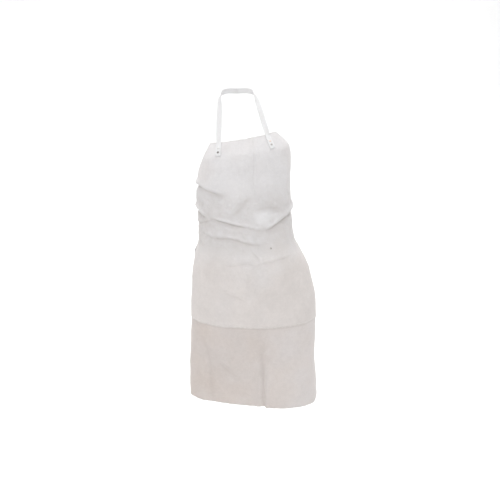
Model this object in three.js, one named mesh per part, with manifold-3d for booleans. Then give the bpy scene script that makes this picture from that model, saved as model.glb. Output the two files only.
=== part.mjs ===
// A work apron of off-white split leather, in the form it has when worn.
// Millimetres, +Z up, the front faces -Y. The origin is at the nape, on the inner face of the neck strap.
// The leather is laid on a body form by two lengths: "across", from the front line towards +X,
// and "down", from the top edge of the bib to the hem.
import * as THREE from "three";
import { mergeVertices } from "three/addons/utils/BufferGeometryUtils.js";
import Module from "manifold-3d";

const LEATHER_THICK = 1.8;
const LAP = { top: 570, seam: 591, gap: 0.5 };
const HEM = { down: 880, cornerLeft: 5, cornerRight: 34, step: 4, stepAt: 38 };
const COLUMNS = 32;
const BIB_BANDS = [
  { to: 140, step: 14 },
  { to: 400, step: 9.3 },
  { to: LAP.top, step: 17 },
];
const SKIRT_STEP = 24;

const TAPE = { wide: 16, thick: 1.4, lift: 0.7, columns: 2, step: 17 };
const NECK_ENDS = {
  left: { across0: -72, across1: -78, length: 48, rivets: { upper: 21, lower: 36 } },
  right: { across0: 76, across1: 88, length: 48, rivets: { upper: 26, lower: 37 } },
};
const WAIST = { down: 374, hold: 36, rivet: 18 };
const FRONT_RIVET = { across: 66, down: 339 };

const RIVET = { cap: 3.2, capHigh: 1.1, shank: 1.4, washer: 3.6, washerThick: 0.8, sides: 10, clear: 0.35 };
const BUCKLE = { wide: 34, high: 26, thick: 2.4, side: 4, middle: 5, slotHigh: 18, corner: 3, lift: 3.9 };

const LEATHER_COLOUR = 0xe6e0dc;
const SKIRT_COLOUR = 0xe0d6d0;
const TAPE_COLOUR = 0xe9e9ec;
const METAL_COLOUR = 0x8f8a86;

// The front line of the leather, from the top edge to the hem. x, y, z: its place. rise: slope of the
// level towards +X. turn: degrees by which the level is turned, its +X side coming to the front.
const FRONT = [
  { down: 0, x: 18, y: -150, z: -128, rise: 0.165, turn: 0 },
  { down: 25, x: 20, y: -166, z: -147, rise: 0.155, turn: 0 },
  { down: 60, x: 23, y: -186, z: -176, rise: 0.13, turn: 0 },
  { down: 110, x: 26, y: -199, z: -224, rise: 0.1, turn: 0 },
  { down: 190, x: 30, y: -204, z: -304, rise: 0.06, turn: 0 },
  { down: 280, x: 35, y: -193, z: -394, rise: 0.03, turn: 0 },
  { down: 335, x: 38, y: -203, z: -449, rise: 0.02, turn: 0 },
  { down: 355, x: 39.5, y: -209, z: -468.5, rise: 0.015, turn: 0 },
  { down: 375, x: 41, y: -213, z: -488, rise: 0.01, turn: 0 },
  { down: 440, x: 46, y: -222, z: -552, rise: 0, turn: 0 },
  { down: 510, x: 50, y: -226, z: -622, rise: 0, turn: 1 },
  { down: 592, x: 51, y: -224, z: -704, rise: 0, turn: 2 },
  { down: 700, x: 48, y: -211, z: -811, rise: -0.01, turn: 4 },
  { down: 884, x: 47, y: -190, z: -994, rise: -0.025, turn: 7 },
];

// The body form on each side of the front line. wide: half-width. deep: from the front line to the side.
// square: power of the oval. reach: length of the leather from the front line to its edge.
const LEFT = [
  { down: 0, wide: 124, deep: 96, square: 2.2, reach: 106 },
  { down: 25, wide: 134, deep: 102, square: 2.2, reach: 120 },
  { down: 60, wide: 142, deep: 110, square: 2.2, reach: 143 },
  { down: 110, wide: 148, deep: 116, square: 2.25, reach: 178 },
  { down: 190, wide: 157, deep: 118, square: 2.2, reach: 204 },
  { down: 280, wide: 158, deep: 110, square: 2.2, reach: 216 },
  { down: 335, wide: 162, deep: 120, square: 2.2, reach: 236 },
  { down: 365, wide: 172, deep: 122, square: 2.2, reach: 264 },
  { down: 440, wide: 190, deep: 126, square: 2.15, reach: 268 },
  { down: 592, wide: 207, deep: 118, square: 2.15, reach: 268 },
  { down: 700, wide: 212, deep: 92, square: 2.2, reach: 258 },
  { down: 884, wide: 220, deep: 62, square: 2.3, reach: 234 },
];
const RIGHT = [
  { down: 0, wide: 110, deep: 96, square: 2.2, reach: 118 },
  { down: 25, wide: 124, deep: 102, square: 2.2, reach: 142 },
  { down: 60, wide: 142, deep: 110, square: 2.2, reach: 176 },
  { down: 110, wide: 139, deep: 116, square: 2.25, reach: 192 },
  { down: 190, wide: 136, deep: 118, square: 2.3, reach: 200 },
  { down: 280, wide: 137, deep: 110, square: 2.3, reach: 208 },
  { down: 335, wide: 143, deep: 120, square: 2.3, reach: 246 },
  { down: 365, wide: 156, deep: 122, square: 2.25, reach: 304 },
  { down: 440, wide: 186, deep: 128, square: 2.2, reach: 312 },
  { down: 592, wide: 201, deep: 130, square: 2.15, reach: 312 },
  { down: 700, wide: 200, deep: 130, square: 2.3, reach: 312 },
  { down: 884, wide: 208, deep: 122, square: 2.6, reach: 312 },
];

// One row for each fold of the leather. from, to: its ends, across and down. bow: how far its middle
// hangs below the straight line. depth: of its valley. half: half-width of the valley. roll: height of
// the leather that rolls over it, on the upper side of a fold that runs to the right.
const FOLDS = [
  { fold: "under the chest", from: [-190, 146], to: [-42, 172], bow: 3, depth: 6, half: 10, roll: 5 },
  { fold: "middle drag", from: [34, 180], to: [-62, 244], bow: 0, depth: 3, half: 16, roll: 0 },
  { fold: "right drag", from: [115, 229], to: [0, 230], bow: 14, depth: 3.5, half: 12, roll: 4 },
  { fold: "notch left", from: [-216, 226], to: [-124, 248], bow: 0, depth: 6, half: 9, roll: 5 },
  { fold: "edge fold left", from: [-226, 282], to: [-104, 250], bow: 0, depth: 4, half: 9, roll: 0 },
  { fold: "waist fold left", from: [-114, 247], to: [-4, 276], bow: 0, depth: 9, half: 8, roll: 7 },
  { fold: "waist fold middle", from: [-26, 270], to: [60, 287], bow: 4, depth: 4, half: 9, roll: 4 },
  { fold: "waist fold right", from: [40, 290], to: [204, 245], bow: -5, depth: 8, half: 11, roll: 6 },
  { fold: "second fold", from: [-152, 302], to: [64, 326], bow: 0, depth: 5, half: 9, roll: 4 },
  { fold: "short crease", from: [-2, 328], to: [26, 388], bow: 0, depth: 3, half: 10, roll: 1 },
  { fold: "third fold", from: [-88, 393], to: [128, 371], bow: 2, depth: 4, half: 10, roll: 3 },
  { fold: "belly slant", from: [-98, 466], to: [-10, 506], bow: 0, depth: 3, half: 11, roll: 2 },
  { fold: "lower slant left", from: [-124, 718], to: [-28, 780], bow: 3, depth: 3, half: 13, roll: 2 },
  { fold: "lower slant right", from: [135, 780], to: [225, 752], bow: 0, depth: 3, half: 13, roll: 2 },
  { fold: "hanging fold left", from: [-134, 884], to: [-168, 620], bow: 9, depth: 5, half: 16, roll: 4 },
  { fold: "flat crease low", from: [33, 664], to: [39, 884], bow: 0, depth: 3, half: 9, roll: 3 },
  { fold: "flat crease high", from: [25, 190], to: [30, 0], bow: 0, depth: 1.5, half: 11, roll: 0 },
];

// The neck strap's free way round the neck, from the left strand to the right one, on its inner face.
// out: compass angle that the tape's outer face looks to, 0 to the front, 90 to -X, 180 to the back.
const NECK_WAY = [
  { x: -53, y: -108, z: -100, out: 0 },
  { x: -52, y: -72, z: -47, out: 16 },
  { x: -50, y: -43, z: -10, out: 58 },
  { x: -34, y: -13, z: 0, out: 122 },
  { x: 0, y: 0, z: 0, out: 180 },
  { x: 34, y: -13, z: 1, out: 238 },
  { x: 52, y: -43, z: -5, out: 302 },
  { x: 66, y: -73, z: -38, out: 344 },
  { x: 81, y: -108, z: -84, out: 360 },
];

const wasm = await Module();
wasm.setup();

const UP = new THREE.Vector3(0, 0, 1);
const clamp01 = (t) => Math.min(1, Math.max(0, t));
const smooth = (t) => clamp01(t) ** 2 * (3 - 2 * clamp01(t));

// A column of a table at a given length, by cubic pieces through its rows.
function columnAt(rows, key, name, at) {
  let i = 0;
  while (i < rows.length - 2 && at > rows[i + 1][key]) i += 1;
  const span = rows[i + 1][key] - rows[i][key];
  const t = clamp01((at - rows[i][key]) / span);
  const slope = (a, b) => (rows[b][name] - rows[a][name]) / (rows[b][key] - rows[a][key]);
  const here = slope(i, i + 1);
  const limit = (before) => (before * here <= 0 ? 0 : (2 * before * here) / (before + here));
  const m0 = i > 0 ? limit(slope(i - 1, i)) : here;
  const m1 = i < rows.length - 2 ? limit(slope(i + 1, i + 2)) : here;
  const t2 = t * t;
  const t3 = t2 * t;
  return (
    (2 * t3 - 3 * t2 + 1) * rows[i][name] +
    (t3 - 2 * t2 + t) * span * m0 +
    (3 * t2 - 2 * t3) * rows[i + 1][name] +
    (t3 - t2) * span * m1
  );
}

// Half of an oval as a line of points with the length walked so far.
const ovals = new Map();
function halfOval(wide, deep, square) {
  const key = `${wide.toFixed(3)} ${deep.toFixed(3)} ${square.toFixed(4)}`;
  if (!ovals.has(key)) {
    const steps = 160;
    const points = [{ x: 0, y: 0, walked: 0 }];
    for (let k = 1; k <= steps; k += 1) {
      const turn = (Math.PI * k) / steps;
      const cosine = Math.cos(turn);
      const x = wide * Math.sin(turn) ** (2 / square);
      const y = deep * (1 - Math.sign(cosine) * Math.abs(cosine) ** (2 / square));
      const last = points[k - 1];
      points.push({ x, y, walked: last.walked + Math.hypot(x - last.x, y - last.y) });
    }
    ovals.set(key, points);
  }
  return ovals.get(key);
}

// How far a fold moves the leather outwards at one place.
function foldLift(fold, across, down) {
  const alongX = fold.to[0] - fold.from[0];
  const alongY = fold.to[1] - fold.from[1];
  const long = Math.hypot(alongX, alongY);
  const fromX = across - fold.from[0];
  const fromY = down - fold.from[1];
  const t = (fromX * alongX + fromY * alongY) / (long * long);
  if (t < -0.1 || t > 1.1) return 0;
  const side = (fromY * alongX - fromX * alongY) / long - fold.bow * 4 * t * (1 - t);
  const ends = smooth((t + 0.1) / 0.3) * smooth((1.1 - t) / 0.3);
  const valley = -fold.depth * Math.exp(-((side / fold.half) ** 2));
  const roll = fold.roll * Math.exp(-(((side + 1.9 * fold.half) / (1.3 * fold.half)) ** 2));
  return ends * (valley + roll);
}

// A place on the outer face of the leather.
function leather(across, down) {
  const sign = across < 0 ? -1 : 1;
  const side = across < 0 ? LEFT : RIGHT;
  const form = (name) => columnAt(side, "down", name, down);
  const front = (name) => columnAt(FRONT, "down", name, down);
  const points = halfOval(form("wide"), form("deep"), form("square"));
  const walk = Math.min(Math.abs(across), points[points.length - 1].walked - 1e-6);
  let k = 1;
  while (points[k].walked < walk) k += 1;
  const a = points[k - 1];
  const b = points[k];
  const t = (walk - a.walked) / (b.walked - a.walked);
  const place = new THREE.Vector3(sign * (a.x + t * (b.x - a.x)), a.y + t * (b.y - a.y), 0);
  const outward = new THREE.Vector3(sign * (b.y - a.y), a.x - b.x, 0).normalize();
  const lift = FOLDS.reduce((sum, fold) => sum + foldLift(fold, across, down), 0);
  place.addScaledVector(outward, lift);
  place.applyAxisAngle(UP, -THREE.MathUtils.degToRad(front("turn")));
  place.z = front("rise") * place.x;
  return place.add(new THREE.Vector3(front("x"), front("y"), front("z")));
}

// The facing of the leather at one place, from its neighbours.
function facing(across, down) {
  const step = 2;
  const u = leather(across + step, down).sub(leather(across - step, down));
  const v = leather(across, down + step).sub(leather(across, down - step));
  return u.cross(v).normalize().negate();
}

// A closed wall between a grid of points and the same grid moved by a thickness along its normals.
// rows: arrays of { place, out }. The wall lies from depth `under` to depth `over` along out.
function wall(rows, under, over) {
  const wideCount = rows[0].length;
  const positions = [];
  const index = [];
  for (const depth of [over, under]) {
    for (const row of rows) {
      for (const { place, out } of row) {
        positions.push(...place.clone().addScaledVector(out, depth).toArray());
      }
    }
  }
  const sheet = rows.length * wideCount;
  const at = (i, j, side) => side * sheet + i * wideCount + j;
  const apart = (a, b) => Math.hypot(...[0, 1, 2].map((k) => positions[3 * a + k] - positions[3 * b + k]));
  const quad = (a, b, c, d) => {
    if (apart(a, c) <= apart(b, d)) index.push(a, b, c, a, c, d);
    else index.push(a, b, d, b, c, d);
  };
  for (let i = 0; i < rows.length - 1; i += 1) {
    for (let j = 0; j < wideCount - 1; j += 1) {
      quad(at(i, j, 0), at(i + 1, j, 0), at(i + 1, j + 1, 0), at(i, j + 1, 0));
      quad(at(i, j, 1), at(i, j + 1, 1), at(i + 1, j + 1, 1), at(i + 1, j, 1));
    }
    const last = wideCount - 1;
    quad(at(i, 0, 1), at(i + 1, 0, 1), at(i + 1, 0, 0), at(i, 0, 0));
    quad(at(i, last, 0), at(i + 1, last, 0), at(i + 1, last, 1), at(i, last, 1));
  }
  for (let j = 0; j < wideCount - 1; j += 1) {
    const end = rows.length - 1;
    quad(at(0, j, 1), at(0, j, 0), at(0, j + 1, 0), at(0, j + 1, 1));
    quad(at(end, j, 0), at(end, j, 1), at(end, j + 1, 1), at(end, j + 1, 0));
  }
  const geometry = new THREE.BufferGeometry();
  geometry.setAttribute("position", new THREE.Float32BufferAttribute(positions, 3));
  geometry.setIndex(index);
  return geometry;
}

// Rows of leather places at the given lengths down the apron. The last row of the skirt is the hem.
function leatherRows(downs, hemmed) {
  return downs.map((down, i) => {
    const reachL = columnAt(LEFT, "down", "reach", down);
    const reachR = columnAt(RIGHT, "down", "reach", down);
    const row = [];
    for (let j = 0; j <= COLUMNS; j += 1) {
      const across = -reachL + (j / COLUMNS) * (reachL + reachR);
      const low = hemmed ? (i / (downs.length - 1)) ** 2 : 0;
      const placed = down + low * hemShift(across, reachL, reachR);
      row.push({ place: leather(across, placed), out: facing(across, placed) });
    }
    return row;
  });
}

// How far the hem's cut lies below or above its level: a small step at the crease and rounded corners.
function hemShift(across, reachL, reachR) {
  const corner = across < 0 ? HEM.cornerLeft : HEM.cornerRight;
  const toEdge = Math.max(0, across < 0 ? reachL + across : reachR - across);
  const inside = Math.max(0, corner - toEdge);
  return HEM.step * smooth((across - HEM.stepAt) / 12) - corner + Math.sqrt(corner ** 2 - inside ** 2);
}

// Equal steps from one length to another, without the first.
function steps(from, to, count) {
  return Array.from({ length: count }, (_, i) => from + ((to - from) * (i + 1)) / count);
}

function bandSteps(from, bands) {
  const downs = [from];
  for (const band of bands) {
    const start = downs[downs.length - 1];
    downs.push(...steps(start, band.to, Math.round((band.to - start) / band.step)));
  }
  return downs;
}

// One cross row of a tape: places from one edge to the other.
function tapeRow(place, out, along, lift) {
  const face = out.clone().addScaledVector(along, -out.dot(along)).normalize();
  const width = face.clone().cross(along).normalize();
  const row = [];
  for (let j = 0; j <= TAPE.columns; j += 1) {
    const side = TAPE.wide * (j / TAPE.columns - 0.5);
    row.push({ place: place.clone().addScaledVector(width, side).addScaledVector(face, lift), out: face });
  }
  return row;
}

// Cross rows of a tape's end on the bib, from its cut end up to the bib's top edge, square to the tape.
function neckEndRows(end, sign) {
  const lean = Math.atan2(end.across1 - end.across0, end.length);
  const rows = [];
  for (const down of [end.length, ...steps(end.length, 5, 3)]) {
    const across = end.across0 + (end.across1 - end.across0) * (down / end.length);
    const row = [];
    for (let j = 0; j <= TAPE.columns; j += 1) {
      const side = sign * TAPE.wide * (j / TAPE.columns - 0.5);
      const at = [across + side * Math.cos(lean), down - side * Math.sin(lean)];
      const out = facing(...at);
      row.push({ place: leather(...at).addScaledVector(out, TAPE.lift), out });
    }
    rows.push(row);
  }
  return rows;
}

function neckStrapRows() {
  const leftEnd = neckEndRows(NECK_ENDS.left, -1);
  const rightEnd = neckEndRows(NECK_ENDS.right, 1).reverse();
  const middle = (row) => row[TAPE.columns / 2];
  const leave = middle(leftEnd[leftEnd.length - 1]);
  const arrive = middle(rightEnd[0]);
  const outs = NECK_WAY.map(({ out }) => {
    const angle = THREE.MathUtils.degToRad(out);
    return new THREE.Vector3(-Math.sin(angle), -Math.cos(angle), 0);
  });
  const places = NECK_WAY.map(({ x, y, z }) => new THREE.Vector3(x, y, z));
  const way = new THREE.CatmullRomCurve3([leave.place, ...places, arrive.place], false, "centripetal");
  const looks = new THREE.CatmullRomCurve3([leave.out, ...outs, arrive.out], false, "centripetal");
  const count = Math.round(way.getLength() / TAPE.step);
  const free = [];
  for (let i = 1; i < count; i += 1) {
    const t = way.getUtoTmapping(i / count);
    free.push(tapeRow(way.getPoint(t), looks.getPoint(t).normalize(), way.getTangent(t), 0));
  }
  return [...leftEnd, ...free, ...rightEnd];
}

// Half the way round the body form at one level, by the left or the right side.
function halfWay(side, down) {
  const form = (name) => columnAt(side, "down", name, down);
  const points = halfOval(form("wide"), form("deep"), form("square"));
  return points[points.length - 1].walked;
}

// The waist strap lies on the right ear, goes on round the back of the body form to the left ear,
// and weaves through the buckle: under its sides and over its middle bar.
function waistStrapRows() {
  const stations = (side) => {
    const half = halfWay(side, WAIST.down);
    const start = columnAt(side, "down", "reach", WAIST.down) - WAIST.hold;
    const end = half - BUCKLE.wide / 2 - 4;
    const toBuckle = [start, ...steps(start, end, Math.round((end - start) / TAPE.step))];
    const inBuckle = [16, 13, 11, 9, 7, 5, 3, 1].map((fromBack) => half - fromBack);
    const all = [...toBuckle, ...inBuckle];
    return all.map((walked) => ({ side, share: walked / half, fromBack: half - walked }));
  };
  const over = BUCKLE.lift + BUCKLE.thick / 2 + 0.6;
  return [...stations(RIGHT), ...stations(LEFT).reverse()].map(({ side, share, fromBack }) => {
    const rise = smooth((BUCKLE.wide / 2 - BUCKLE.side - 1 - fromBack) / 7);
    const lift = TAPE.lift + (over - TAPE.lift) * rise;
    const row = [];
    for (let j = 0; j <= TAPE.columns; j += 1) {
      const down = WAIST.down - TAPE.wide * (j / TAPE.columns - 0.5);
      const across = (side === LEFT ? -share : share) * halfWay(side, down);
      const out = facing(across, down);
      row.push({ place: leather(across, down).addScaledVector(out, lift), out });
    }
    return row;
  });
}

// A rivet through the leather and what lies on it. Its axis runs outwards from the leather's outer face.
function rivetGeometry(stack) {
  const foot = -LEATHER_THICK - RIVET.clear;
  const head = stack + RIVET.clear;
  const profile = [
    [0, foot - RIVET.washerThick],
    [RIVET.washer, foot - RIVET.washerThick],
    [RIVET.washer, foot],
    [RIVET.shank, foot],
    [RIVET.shank, head],
    [RIVET.cap, head],
    [RIVET.cap * 0.9, head + RIVET.capHigh * 0.55],
    [RIVET.cap * 0.5, head + RIVET.capHigh * 0.92],
    [0, head + RIVET.capHigh],
  ];
  return new THREE.LatheGeometry(profile.map(([r, h]) => new THREE.Vector2(r, h)), RIVET.sides);
}

const AXIS = new THREE.Vector3(0, 1, 0);

function stand(mesh, across, down) {
  mesh.position.copy(leather(across, down));
  mesh.quaternion.setFromUnitVectors(AXIS, facing(across, down));
  mesh.updateMatrixWorld(true);
  return mesh;
}

function solid(geometry) {
  const bare = geometry.clone();
  bare.deleteAttribute("normal");
  bare.deleteAttribute("uv");
  const merged = mergeVertices(bare, 1e-4);
  return new wasm.Manifold(
    new wasm.Mesh({
      numProp: 3,
      vertProperties: new Float32Array(merged.attributes.position.array),
      triVerts: new Uint32Array(merged.index.array),
    }),
  );
}

function surface(body) {
  const mesh = body.getMesh();
  const cut = new THREE.BufferGeometry();
  cut.setAttribute("position", new THREE.Float32BufferAttribute(mesh.vertProperties, 3));
  cut.setIndex(Array.from(mesh.triVerts));
  return cut;
}

// A piece with round holes for the rivets that go through it.
function pierced(geometry, rivets) {
  let body = solid(geometry);
  const radius = RIVET.shank + RIVET.clear;
  for (const { across, down } of rivets) {
    const round = new THREE.CylinderGeometry(radius, radius, 16, RIVET.sides);
    const drill = stand(new THREE.Mesh(round), across, down);
    body = body.subtract(solid(drill.geometry.applyMatrix4(drill.matrixWorld)));
  }
  return surface(body);
}

function chamferedBox(wide, high, corner) {
  const x = wide / 2;
  const y = high / 2;
  const outline = [
    [corner - x, -y],
    [x - corner, -y],
    [x, corner - y],
    [x, y - corner],
    [x - corner, y],
    [corner - x, y],
    [-x, y - corner],
    [-x, corner - y],
  ];
  return new THREE.Shape(outline.map(([px, py]) => new THREE.Vector2(px, py)));
}

// A flat plate with two slots and a middle bar between them.
function buckleGeometry() {
  const plate = chamferedBox(BUCKLE.wide, BUCKLE.high, BUCKLE.corner);
  const thick = new THREE.ExtrudeGeometry(plate, { depth: BUCKLE.thick, bevelEnabled: false });
  let body = solid(thick.translate(0, 0, -BUCKLE.thick / 2));
  const slotWide = (BUCKLE.wide - BUCKLE.middle) / 2 - BUCKLE.side;
  const slotAt = (BUCKLE.middle + slotWide) / 2;
  for (const sign of [-1, 1]) {
    const slot = new THREE.BoxGeometry(slotWide, BUCKLE.slotHigh, 2 * BUCKLE.thick);
    body = body.subtract(solid(slot.translate(sign * slotAt, 0, 0)));
  }
  return surface(body);
}

function piece(name, geometry, colour, roughness, metalness) {
  const flat = geometry.index ? geometry.toNonIndexed() : geometry;
  flat.computeVertexNormals();
  const material = new THREE.MeshStandardMaterial({ color: colour, roughness, metalness });
  const mesh = new THREE.Mesh(flat, material);
  mesh.name = name;
  return mesh;
}

const neckRivets = [];
for (const [side, end] of Object.entries(NECK_ENDS)) {
  for (const [height, down] of Object.entries(end.rivets)) {
    const across = end.across0 + (end.across1 - end.across0) * (down / end.length);
    neckRivets.push({ name: `strap_rivet_${side}_${height}`, across, down });
  }
}
const earLeft = WAIST.rivet - columnAt(LEFT, "down", "reach", WAIST.down);
const earRight = columnAt(RIGHT, "down", "reach", WAIST.down) - WAIST.rivet;
const waistRivets = [
  { name: "waist_rivet_left", across: earLeft, down: WAIST.down },
  { name: "waist_rivet_right", across: earRight, down: WAIST.down },
];
const frontRivet = { name: "front_rivet", ...FRONT_RIVET };

const bibDowns = [...bandSteps(0, BIB_BANDS), (LAP.top + LAP.seam) / 2, LAP.seam];
const skirtDowns = [
  ...[LAP.top, (LAP.top + LAP.seam) / 2, LAP.seam],
  ...steps(LAP.seam, HEM.down, Math.round((HEM.down - LAP.seam) / SKIRT_STEP)),
];
const bib = wall(leatherRows(bibDowns, false), -LEATHER_THICK, 0);
const behind = LEATHER_THICK + LAP.gap;
const skirt = wall(leatherRows(skirtDowns, true), -behind - LEATHER_THICK, -behind);
const neckStrap = wall(neckStrapRows(), 0, TAPE.thick);
const waistStrap = wall(waistStrapRows(), 0, TAPE.thick);

const apron = new THREE.Group();
apron.name = "apron";
const allRivets = [...neckRivets, ...waistRivets, frontRivet];
apron.add(piece("bib_panel", pierced(bib, allRivets), LEATHER_COLOUR, 0.95, 0));
apron.add(piece("skirt_panel", skirt, SKIRT_COLOUR, 0.95, 0));
apron.add(piece("neck_strap", pierced(neckStrap, neckRivets), TAPE_COLOUR, 0.85, 0));
apron.add(piece("waist_strap", pierced(waistStrap, waistRivets), TAPE_COLOUR, 0.85, 0));
for (const { name, across, down } of allRivets) {
  const stack = name === frontRivet.name ? 0 : TAPE.lift + TAPE.thick;
  apron.add(stand(piece(name, rivetGeometry(stack), METAL_COLOUR, 0.4, 1), across, down));
}
const buckle = piece("waist_buckle", buckleGeometry(), METAL_COLOUR, 0.4, 1);
const backMiddle = leather(1e6, WAIST.down);
buckle.position.copy(backMiddle).add(new THREE.Vector3(0, BUCKLE.lift, 0));
buckle.rotation.x = -Math.PI / 2;
apron.add(buckle);

export default apron;
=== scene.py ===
"""A worn work apron of off-white split leather: fine folds, nap, tape, rivets, stitching and a studio."""
import math
from dataclasses import dataclass

import bmesh
import bpy
import numpy as np
from mathutils import Matrix, Vector


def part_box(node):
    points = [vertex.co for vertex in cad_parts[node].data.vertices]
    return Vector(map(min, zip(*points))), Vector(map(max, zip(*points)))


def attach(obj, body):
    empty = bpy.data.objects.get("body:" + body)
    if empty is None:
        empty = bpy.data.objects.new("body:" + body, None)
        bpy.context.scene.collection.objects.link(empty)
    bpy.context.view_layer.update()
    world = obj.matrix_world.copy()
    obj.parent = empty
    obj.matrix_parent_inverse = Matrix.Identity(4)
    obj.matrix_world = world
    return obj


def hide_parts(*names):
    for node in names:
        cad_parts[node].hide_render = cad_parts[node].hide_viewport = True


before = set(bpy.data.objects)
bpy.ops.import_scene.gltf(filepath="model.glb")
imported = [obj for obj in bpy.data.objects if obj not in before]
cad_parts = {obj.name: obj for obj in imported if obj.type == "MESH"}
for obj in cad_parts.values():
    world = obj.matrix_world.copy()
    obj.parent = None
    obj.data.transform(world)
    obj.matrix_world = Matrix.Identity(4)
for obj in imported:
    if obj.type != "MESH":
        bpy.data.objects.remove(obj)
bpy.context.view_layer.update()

# Lengths are millimetres, as in the part's source, and meshes are written in metres.
MM = 0.001
SEED = 4599

LEATHER_THICK = 1.8
LAP_TOP, LAP_SEAM, LAP_GAP = 570, 591, 0.5
HEM_DOWN, HEM_STEP, HEM_STEP_AT, HEM_STEP_WIDE = 880, 4, 38, 6
HEM_CORNER_LEFT, HEM_CORNER_RIGHT = 5, 34
LEATHER_COLUMN = 3.5
EDGE_ROW, EDGE_ROUND, EDGE_WORN = 0.6, 0.35, 3.5
# The hand-cut edges: where each reads the waves of the cut, how far in they fade and the lap's share.
CUT_LEFT, CUT_RIGHT, CUT_TOP, CUT_BOTTOM, CUT_FADE, CUT_LAP_SHARE = 0, 300, 900, 1200, 40, 0.45
# Radii of a hem corner over which the leather's columns are drawn in.
CORNER_DRAWN = 3.5
# The rows of each panel, as bands of (length down at the band's end, step).
BIB_ROWS = ((EDGE_ROW, EDGE_ROW), (140, 3.5), (400, 1.85), (578, 3.6), (590.4, 1.1), (LAP_SEAM, 0.6))
SKIRT_ROWS = ((LAP_SEAM, 3.5), (HEM_DOWN - 9, 3.1), (HEM_DOWN - EDGE_ROW, 1.4), (HEM_DOWN, EDGE_ROW))

# A fold's fading ends, as shares of its length, and its roll and crease, in half-widths of its valley.
FOLD_FADE_IN, FOLD_FADE_OUT, FOLD_POINTS = 0.3, 0.35, 12
ROLL_AT, ROLL_HALF = 1.7, 1.25
# The crease mark darkens the leather's colour: painted shade in the fold as well as rubbed dirt.
CREASE_CORE, CREASE_WIDE, CREASE_WIDE_SHARE, CREASE_FULL_DEPTH = 0.45, 1.7, 0.4, 6

# The relief: its unevenness, the front rivet's dimple, the seam's groove, painted shade and dust under the
# lap, and full marks.
UNEVEN_REACH, UNEVEN_FADE = 380, 80
DIMPLE_DEEP, DIMPLE_HALF = 0.5, 6
GROOVE_DEEP, GROOVE_HALF = 0.55, 2.2
LAP_DUST_AND_SHADE, LAP_SHADE_AT, LAP_SHADE_HALF = 0.9, 1, 2.5
CRUMPLE_MARK, FULL_HOLLOW, FULL_ROLL, FULL_PROUD = 1.5, 6, 4.5, 2.4

TAPE_WIDE, TAPE_THICK, TAPE_LIFT = 16, 1.4, 0.7
TAPE_COLUMNS, TAPE_STEP, TAPE_ROUND = 8, 4, 0.3
NECK_END_LENGTH, NECK_END_TOP, NECK_POINTS = 48, 5, 60
NECK_END_LEFT, NECK_END_RIGHT = (-72, -78), (76, 88)
NECK_RIVETS_LEFT = {"upper": 21, "lower": 36}
NECK_RIVETS_RIGHT = {"upper": 26, "lower": 37}
WAIST_DOWN, WAIST_HOLD, WAIST_RIVET = 374, 36, 18
FRONT_RIVET = (66, 339)
# The waist band, where the leather crumples and its colour darkens with painted shade as well as grime, and
# how far the crumples fade above and below it.
WAIST_BAND, WAIST_FADE_ABOVE, WAIST_FADE_BELOW = (150, 365), 70, 50

RIVET_CAP, RIVET_CAP_HIGH, RIVET_SHANK, RIVET_CLEAR = 3.2, 1.1, 1.4, 0.35
RIVET_WASHER, RIVET_WASHER_THICK, RIVET_SIDES = 3.6, 0.8, 48
BUCKLE_WIDE, BUCKLE_HIGH, BUCKLE_THICK, BUCKLE_CORNER = 34, 26, 2.4, 4
BUCKLE_SIDE, BUCKLE_MIDDLE, BUCKLE_SLOT_HIGH, BUCKLE_SLOT_CORNER = 4, 5, 18, 1.5
BUCKLE_LIFT, BUCKLE_ROUND, BUCKLE_CORNER_STEPS, BUCKLE_WELD, BUCKLE_SHARP = 3.9, 0.7, 7, 0.002, 40
# The strap at the buckle: how far it clears the bar, the way that it takes to rise and its fine steps.
BUCKLE_CLEAR, BUCKLE_RISE, BUCKLE_RISE_FROM = 0.6, 7, BUCKLE_WIDE / 2 - BUCKLE_SIDE - 1
FINE_FROM, FINE_TO, FINE_STEP = 17, 0.5, 0.75

STITCH_UP, STITCH_IN, STITCH_PITCH, STITCH_LONG, STITCH_THICK = 5.5, 5, 4.4, 3.5, 0.75
STITCH_DOWN = LAP_SEAM - STITCH_UP
STITCH_SIDES, STITCH_ROUNDS, STITCH_HIGH, STITCH_SUNK = 8, 7, 0.34, 0.2
STITCH_STRAY_ALONG, STITCH_STRAY_DOWN = 0.15, 0.2
HOLE_CORE, HOLE_WIDE, THREAD_TWIST = 0.2, 1.1, 0.9
WEAVE_RIB, WEAVE_YARN, WEAVE_ZIGZAG = 1.5, 0.8, 4

# The camera and the floor, in metres.
CAMERA_AT = (0.040, -2.221, 0.163)
CAMERA_TILT = math.radians(73)
CAMERA_LENS = 50.4
FLOOR_Z = -1.315


def table(names, rows):
    """A short table, as one array for each named column."""
    return dict(zip(names.split(), np.array(rows, float).T))


# The front line of the leather, from the top edge to the hem. x, y, z: its place. rise: slope of the
# level towards +X. turn: degrees by which the level is turned, its +X side coming to the front.
FRONT = table("down x y z rise turn", [
    (0, 18, -150, -128, 0.165, 0),
    (25, 20, -166, -147, 0.155, 0),
    (60, 23, -186, -176, 0.13, 0),
    (110, 26, -199, -224, 0.1, 0),
    (190, 30, -204, -304, 0.06, 0),
    (280, 35, -193, -394, 0.03, 0),
    (335, 38, -203, -449, 0.02, 0),
    (355, 39.5, -209, -468.5, 0.015, 0),
    (375, 41, -213, -488, 0.01, 0),
    (440, 46, -222, -552, 0, 0),
    (510, 50, -226, -622, 0, 1),
    (592, 51, -224, -704, 0, 2),
    (700, 48, -211, -811, -0.01, 4),
    (884, 47, -190, -994, -0.025, 7),
])

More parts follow.
